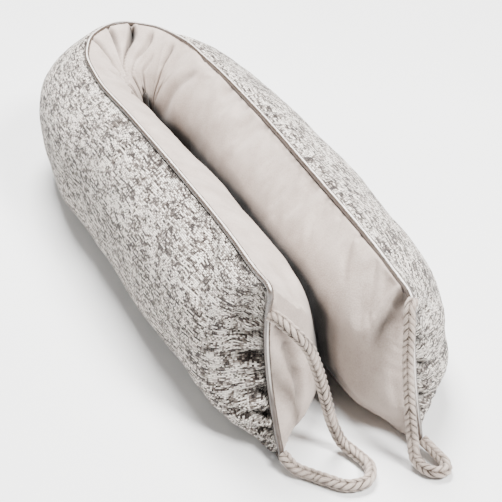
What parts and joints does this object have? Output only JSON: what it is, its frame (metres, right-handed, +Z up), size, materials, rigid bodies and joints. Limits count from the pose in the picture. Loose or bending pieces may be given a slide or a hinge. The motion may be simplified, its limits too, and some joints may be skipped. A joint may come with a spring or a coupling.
{
  "type": "draught excluder",
  "caption": "Stuffed fabric draught excluder folded into a U, tweed outside and fleece inside, with piped seams and rope handles, that blocks the gap under a door or along a window sill.",
  "frame": {"origin": "on the surface that the excluder stands on, under the middle of the filled body's box", "axes": "+Z up; +Y along both legs towards the bend, so that the open ends and their handles point along -Y; +X to the right seen from the open ends"},
  "size_m": [0.2588, 0.6917, 0.1585],
  "materials": {
    "woven_panel": "matt woven tweed, mixed grey, ecru and dark brown threads",
    "fleece_panel": "short napped warm grey fleece",
    "piping": "taupe satin with a soft sheen",
    "rope": "matt plaited cotton"
  },
  "bodies": {
    "root": {"woven_panel": "woven_panel", "fleece_panel": "fleece_panel", "piping": "piping", "handle_left": "rope", "handle_right": "rope"}
  },
  "joints": []
}
